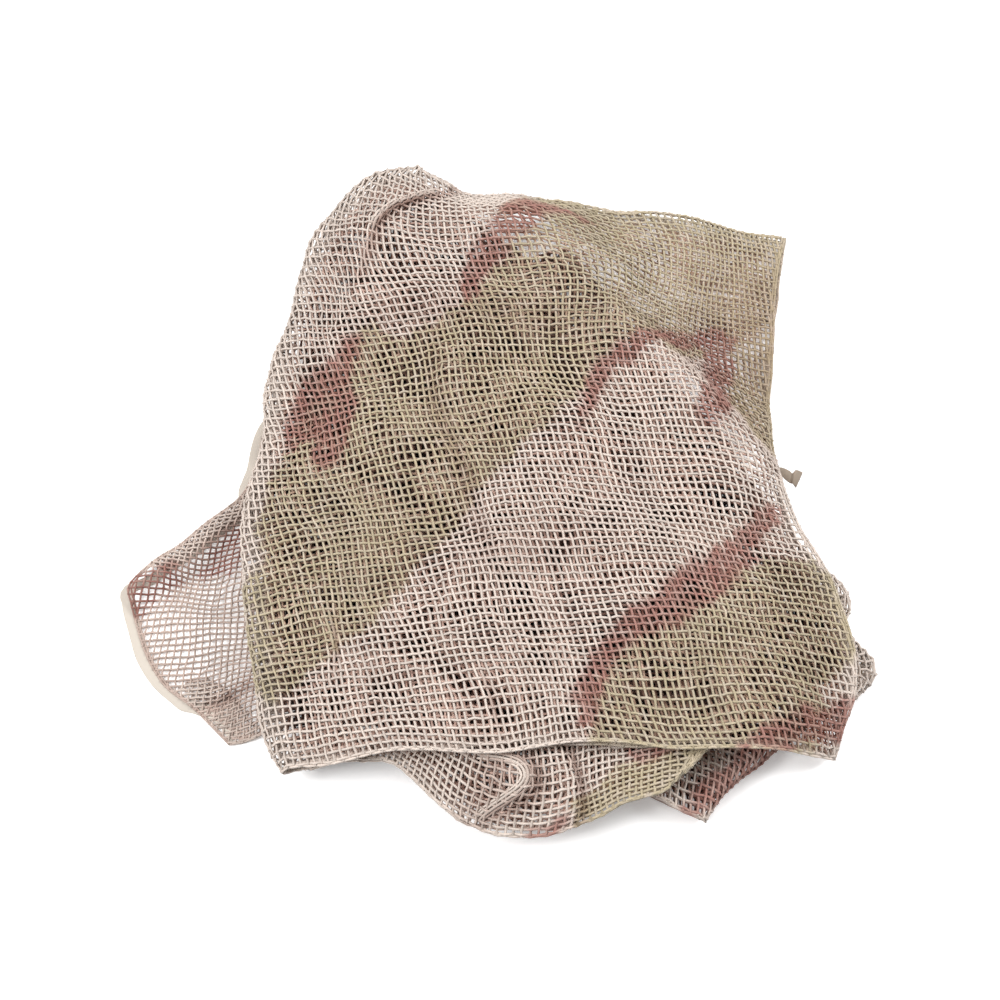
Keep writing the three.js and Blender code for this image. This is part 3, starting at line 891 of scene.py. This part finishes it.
def cotton_yarn():
    """Dull spun cotton: two dyes over tan, with painted shade that is darker and warmer under the layers of
    the heap.
    """
    material, tree = new_material("dyed cotton yarn")
    place = node(tree, "ShaderNodeTexCoord").outputs["Object"]
    fuzz = node(tree, "ShaderNodeTexNoise", {"Scale": 1 / (FUZZ * MM), "Detail": 2}, {"Vector": place})
    shade = colour(TAN)
    for dye, code in (("olive", OLIVE), ("brown", BROWN)):
        weight = node(tree, "ShaderNodeAttribute", {"attribute_name": dye})
        mix = node(tree, "ShaderNodeMix", {"data_type": "RGBA", 7: colour(code)}, {0: weight.outputs["Fac"]})
        if isinstance(shade, list):
            mix.inputs[6].default_value = shade
        else:
            tree.links.new(shade, mix.inputs[6])
        shade = mix.outputs[2]
    tone = node(tree, "ShaderNodeAttribute", {"attribute_name": "tone"})
    deep_shade = node(tree, "ShaderNodeAttribute", {"attribute_name": "deep_shade"})
    # Painted shade, tinted warmer where the yarn lies under layers.
    shade = node(tree, "ShaderNodeMix", {"data_type": "RGBA", "blend_type": "MULTIPLY", 7: colour(WARM_SHADE)},
                 {0: deep_shade.outputs["Fac"], 6: shade}).outputs[2]
    light = node(tree, "ShaderNodeMath", {"operation": "MULTIPLY_ADD", 1: FUZZ_SWING, 2: FUZZ_LEAST},
                 {0: fuzz.outputs["Fac"]})
    # The tone attribute carries each yarn's own tone and the painted light and shade.
    light = node(tree, "ShaderNodeMath", {"operation": "MULTIPLY"},
                 {0: tone.outputs["Fac"], 1: light.outputs[0]})
    yarn = node(tree, "ShaderNodeMix", {"data_type": "RGBA", "blend_type": "MULTIPLY", 0: 1.0},
                {6: shade, 7: light.outputs[0]})
    bump = node(tree, "ShaderNodeBump", {"Strength": 0.5, "Distance": 0.3 * MM},
                {"Height": fuzz.outputs["Fac"]})
    surface = node(tree, "ShaderNodeBsdfPrincipled", {"Roughness": 0.95, "Sheen Weight": 0.15,
                                                      "Specular IOR Level": 0.15},
                   {"Base Color": yarn.outputs[2], "Normal": bump.outputs["Normal"]})
    node(tree, "ShaderNodeOutputMaterial", links={"Surface": surface.outputs[0]})
    return material


yarn = cotton_yarn()
print("material:", yarn.name, "with", len(yarn.node_tree.nodes), "nodes")

# %% [markdown]
# ## All ten plies
# Each ply is woven, gets the yarn material and takes the place of the solid net. Its flat area is worked
# out and printed: at most half the width of the cloth by the length between two folds.

# %% Weave all the panels
triangles = 0
for panel in range(PANELS):
    for ply in "ab":
        piece, area, length = weave(panel, ply)
        piece.data.materials.append(yarn)
        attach(piece, "root")
        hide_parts("net")
        width = HALF_WIDTH * MM
        area = min(area, width * length)
        triangles += 2 * len(piece.data.polygons)
        print(piece.name, len(piece.data.polygons), "quads,", round(area, 4), "square metres")
print("net:", triangles, "triangles")

# %% [markdown]
# ## The tape at the left end
# The left end of the net is bound with a flat cotton tape. It follows the end of the upper ply, turns
# over at the far edge and comes back along the lower ply. Where the end is turned under, so is the tape.
# It is a flat ring of eight points swept along that line, and its free edge is a little wavy.

# %% Sweep the tape
TAPE_WIDTH, TAPE_THICKNESS, TAPE_LAP, TAPE_WAVE = 10, 1.4, 2.8, 0.9
TAPE_STEPS, TAPE_TURN_STEPS = 150, 6  # along one ply, and round the far edge
TAPE_INSET, TAPE_DROP, TAPE_CLEAR = 0.02, 1.2, 0.6 * TAPE_THICKNESS
TAPE_WAVES = {"width": (73, 40), "height": (71, 55)}  # seeds and lengths
FLOOR_GAP = 0.1
CREAM, CREAM_GRAIN = "#C7BEB3", 0.9
# Where the tape is tucked under, in shares of the end: it sinks first, then goes in.
TUCKS = [
    {"sink": (-0.2, -0.1), "go_in": (-0.2, -0.1), "come_out": (0.04, 0.11), "rise": (0.06, 0.12)},
    {"sink": (0.24, 0.29), "go_in": (0.29, 0.35), "come_out": (0.51, 0.56), "rise": (0.55, 0.61)},
]
TUCK_DEPTH, TUCK_FLATTER = 3.2, 0.8
FLAT_RING = [(1, 0.3), (0.94, 0.5), (0.06, 0.5), (0, 0.3), (0, -0.3), (0.06, -0.5), (0.94, -0.5), (1, -0.3)]


def between(share, start, stop):
    """0 to 1 to 0 again, over two spans of a share."""
    return ease((share - start[0]) / (start[1] - start[0])) - ease((share - stop[0]) / (stop[1] - stop[0]))


def flat_ring(centres, out, up, width, thickness):
    """Rings for a flat strip: the first side is at the centre line, the other one width away."""
    rings = [centres + out * (o * width)[:, None] + up * (u * thickness) for o, u in FLAT_RING]
    return np.stack(rings, axis=1)[None]


def strip_piece(name, rings, material, node_name):
    """A closed strip through rings, in place of a solid."""
    points, faces = sweep(rings, np.ones((1, rings.shape[1] - 1), bool))
    along, round_it = np.indices(rings.shape[1:3])
    flat = np.stack([round_it / rings.shape[2], along / rings.shape[1]], axis=-1).reshape(-1, 2)
    piece = mesh_piece(name, points, faces, {}, flat)
    piece.data.materials.append(material)
    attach(piece, "root")
    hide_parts(node_name)
    return piece


def cotton_tape(name, code, grain):
    """Dull woven tape, with an uneven grain of so many millimetres."""
    material, tree = new_material(name)
    place = node(tree, "ShaderNodeTexCoord").outputs["Object"]
    weave = node(tree, "ShaderNodeTexNoise", {"Scale": 1 / (grain * MM), "Detail": 1}, {"Vector": place})
    bump = node(tree, "ShaderNodeBump", {"Strength": 0.6, "Distance": 0.2 * MM},
                {"Height": weave.outputs["Fac"]})
    surface = node(tree, "ShaderNodeBsdfPrincipled", {"Base Color": colour(code), "Roughness": 0.9,
                                                      "Sheen Weight": 0.1, "Specular IOR Level": 0.2},
                   {"Normal": bump.outputs["Normal"]})
    node(tree, "ShaderNodeOutputMaterial", links={"Surface": surface.outputs[0]})
    return material


shares = np.concatenate([np.linspace(0, 1, TAPE_STEPS), np.linspace(1, 1.5, TAPE_TURN_STEPS)[1:]])
lines = []
for inset in (0, TAPE_INSET):
    upper, lower = (cloth_point(PANELS - 1, ply, np.full_like(shares, 1 - inset), shares) for ply in "ab")
    lines.append(np.concatenate([upper, lower[-2::-1]]))
edge = lines[0]
along = np.gradient(edge, axis=0)
up = unit(np.cross(along, edge - lines[1]))
out = unit(np.cross(up, along))
share = np.concatenate([shares, np.ones(len(shares) - 1)])
sunk = sum(between(share, row["sink"], row["rise"]) for row in TUCKS)
tucked = sum(between(share, row["go_in"], row["come_out"]) for row in TUCKS)
inner = edge - out * (TAPE_LAP + TAPE_WIDTH * tucked)[:, None]
inner -= up * (TAPE_DROP + TUCK_DEPTH * sunk)[:, None]
outer = inner + out * (TAPE_WIDTH + TAPE_WAVE * ripple(edge[:, :2], *TAPE_WAVES["width"]))[:, None]
outer[:, 2] += TAPE_WAVE * ripple(edge[:, :2], *TAPE_WAVES["height"])
for side in (inner, outer):
    side[:, 2] = np.maximum(side[:, 2] * (1 - TUCK_FLATTER * sunk), TAPE_CLEAR)
rings = flat_ring(inner, outer - inner, up, np.ones(len(edge)), TAPE_THICKNESS)
rings[..., 2] = np.maximum(rings[..., 2], FLOOR_GAP)
cream = cotton_tape("cream cotton tape", CREAM, CREAM_GRAIN)
tape = strip_piece("end_tape", rings, cream, "end_binding")

# %% [markdown]
# ## The loose tail
# At the right end a short tail of thin tape hangs out of the hem, narrow at its root, creased across
# and cut slantwise at its tip. Each of its two edges is a line: how far out it is, how far aside, and
# how high against the hem.

# %% Sweep the tail
TAIL = {
    "far": {"out": [0.8, 5, 9, 11.5, 14, 19], "aside": [-1, -1.8, -3.6, -5, -3.4, -4.4],
            "rise": [0, -0.4, -1.2, -2.6, 0.2, -2.4]},
    "near": {"out": [1.2, 4, 7.5, 10, 11.5, 14], "aside": [-5, -8.4, -11, -12, -13, -15],
             "rise": [-0.6, -2.4, -4, -5.6, -4.4, -7]},
}
TAIL_SHARE, TAIL_THICKNESS = 9 / 17, 1  # where along the end it hangs, and how thick it is
TAIL_STEPS = 26
GREY, GREY_GRAIN = "#998B7D", 0.6
steps = np.linspace(0, 1, TAIL_STEPS)
root = cloth_point(0, "a", np.array([0.0]), np.array([TAIL_SHARE]))
edges = {}
for side, columns in TAIL.items():
    edges[side] = np.stack([spline(values, steps) for values in columns.values()], axis=-1)
near_side, far_side = root + edges["near"], root + edges["far"]
across = far_side - near_side
width = np.linalg.norm(across, axis=-1)
up = unit(np.cross(np.gradient(near_side + far_side, axis=0), across))
rings = flat_ring(near_side, unit(across), up, width, TAIL_THICKNESS)
grey = cotton_tape("grey cotton tape", GREY, GREY_GRAIN)
tail = strip_piece("tail_of_tape", rings, grey, "tape_tail")

# %% [markdown]
# ## The studio
# A pale floor that glows a little, a broad soft lamp high on the left, a weaker one on the right, a third
# one above, and a camera that looks steeply down at the heap.

# %% Floor, lamps and camera
FLOOR_SIZE, FLOOR_GLOW, ROOM_LIGHT = 6, 0.28, 0.2
bpy.ops.mesh.primitive_plane_add(size=FLOOR_SIZE, location=(0, 0, 0))
floor = bpy.context.object
floor.name = "floor"
material, tree = new_material("pale studio paper")
paper = node(tree, "ShaderNodeBsdfPrincipled", {"Base Color": colour("#F7F7F7"), "Roughness": 0.9,
                                                "Emission Color": colour("#FFFFFF"),
                                                "Emission Strength": FLOOR_GLOW})
node(tree, "ShaderNodeOutputMaterial", links={"Surface": paper.outputs[0]})
floor.data.materials.append(material)

TARGET = Vector((*-HEAP_CENTRE, 20)) * MM
LAMPS = [
    {"name": "key lamp", "place": (-1.5, -0.3, 1.5), "size": 0.9, "power": 44},
    {"name": "fill lamp", "place": (1.5, 0.5, 1.4), "size": 1.0, "power": 37},
    {"name": "top lamp", "place": (0.0, 0.3, 2.2), "size": 1.2, "power": 18},
]
for row in LAMPS:
    bpy.ops.object.light_add(type="AREA", location=row["place"])
    lamp = bpy.context.object
    lamp.name = row["name"]
    lamp.data.size = row["size"]
    lamp.data.energy = row["power"]
    lamp.rotation_euler = (TARGET - lamp.location).to_track_quat("-Z", "Y").to_euler()

world = bpy.data.worlds.new("studio")
bpy.context.scene.world = world
world.use_nodes = True
world.node_tree.nodes["Background"].inputs["Strength"].default_value = ROOM_LIGHT
bpy.context.scene.view_settings.view_transform = "Standard"

ELEVATION, DISTANCE, LENS = radians(70), 1.2, 57
bpy.ops.object.camera_add()
camera = bpy.context.object
camera.location = TARGET + DISTANCE * Vector((0, -cos(ELEVATION), sin(ELEVATION)))
camera.rotation_euler = (TARGET - camera.location).to_track_quat("-Z", "Y").to_euler()
camera.data.lens = LENS
bpy.context.scene.camera = camera
print("lamps:", len(LAMPS), "camera at:", tuple(round(c, 2) for c in camera.location))
